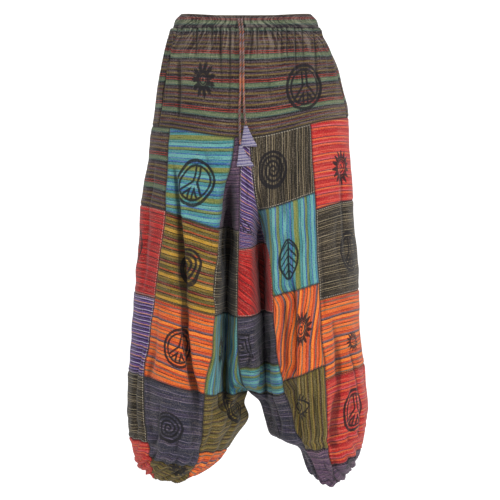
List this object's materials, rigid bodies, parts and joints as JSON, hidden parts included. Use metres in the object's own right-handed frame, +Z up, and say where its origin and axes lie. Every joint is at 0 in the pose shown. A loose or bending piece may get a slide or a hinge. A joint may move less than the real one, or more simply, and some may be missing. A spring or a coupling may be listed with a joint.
{
  "type": "patchwork harem pants",
  "caption": "Patchwork harem pants in the worn form, with a gathered drawstring waist, a yoke, patched legs, a low crotch and elastic ankles.",
  "frame": {"origin": "middle of the waistband's opening, halfway up the waistband, where the wearer holds it up", "axes": "+Z up out of the waist, -Y the way the wearer faces, +X towards the wearer's left"},
  "size_m": [0.4985, 0.3056, 0.9734],
  "materials": {
    "yoke": "matt handloom cotton",
    "teal": "matt handloom cotton",
    "mustard": "matt handloom cotton",
    "orange": "matt handloom cotton",
    "slate": "matt handloom cotton",
    "ebony": "matt handloom cotton",
    "rose": "matt handloom cotton",
    "plum": "matt handloom cotton",
    "scarlet": "matt handloom cotton",
    "moss": "matt handloom cotton",
    "violet": "matt handloom cotton",
    "lilac": "matt handloom cotton",
    "cord": "matt twisted cotton"
  },
  "bodies": {
    "root": {"right_crotch_front_1": "plum", "right_crotch_front_2": "ebony", "right_crotch_front_3": "teal", "right_crotch_front_4": "moss", "right_crotch_front_5": "orange", "right_front_1": "teal", "right_front_2": "mustard", "right_front_3": "orange", "right_front_4": "slate", "right_front_5": "moss", "right_side_1": "yoke", "right_side_2": "scarlet", "right_side_3": "violet", "right_side_4": "ebony", "right_side_5": "rose", "right_back_1": "mustard", "right_back_2": "slate", "right_back_3": "rose", "right_back_4": "teal", "right_crotch_back_1": "orange", "right_crotch_back_2": "violet", "right_crotch_back_3": "scarlet", "right_crotch_back_4": "moss", "right_cuff": "ebony", "right_pocket_facing": "yoke", "left_crotch_front_1": "violet", "left_crotch_front_2": "scarlet", "left_crotch_front_3": "slate", "left_crotch_front_4": "teal", "left_crotch_front_5": "slate", "left_front_1": "ebony", "left_front_2": "teal", "left_front_3": "orange", "left_front_4": "moss", "left_front_5": "plum", "left_side_1": "rose", "left_side_2": "ebony", "left_side_3": "orange", "left_side_4": "rose", "left_side_5": "plum", "left_back_1": "violet", "left_back_2": "mustard", "left_back_3": "slate", "left_back_4": "orange", "left_crotch_back_1": "moss", "left_crotch_back_2": "rose", "left_crotch_back_3": "teal", "left_crotch_back_4": "plum", "left_cuff": "ebony", "left_pocket_facing": "yoke", "waistband": "yoke", "yoke_front": "yoke", "yoke_back": "yoke", "drawstring_short": "cord", "drawstring_long": "cord", "tassel_short": "lilac", "tassel_long": "lilac"}
  },
  "joints": []
}
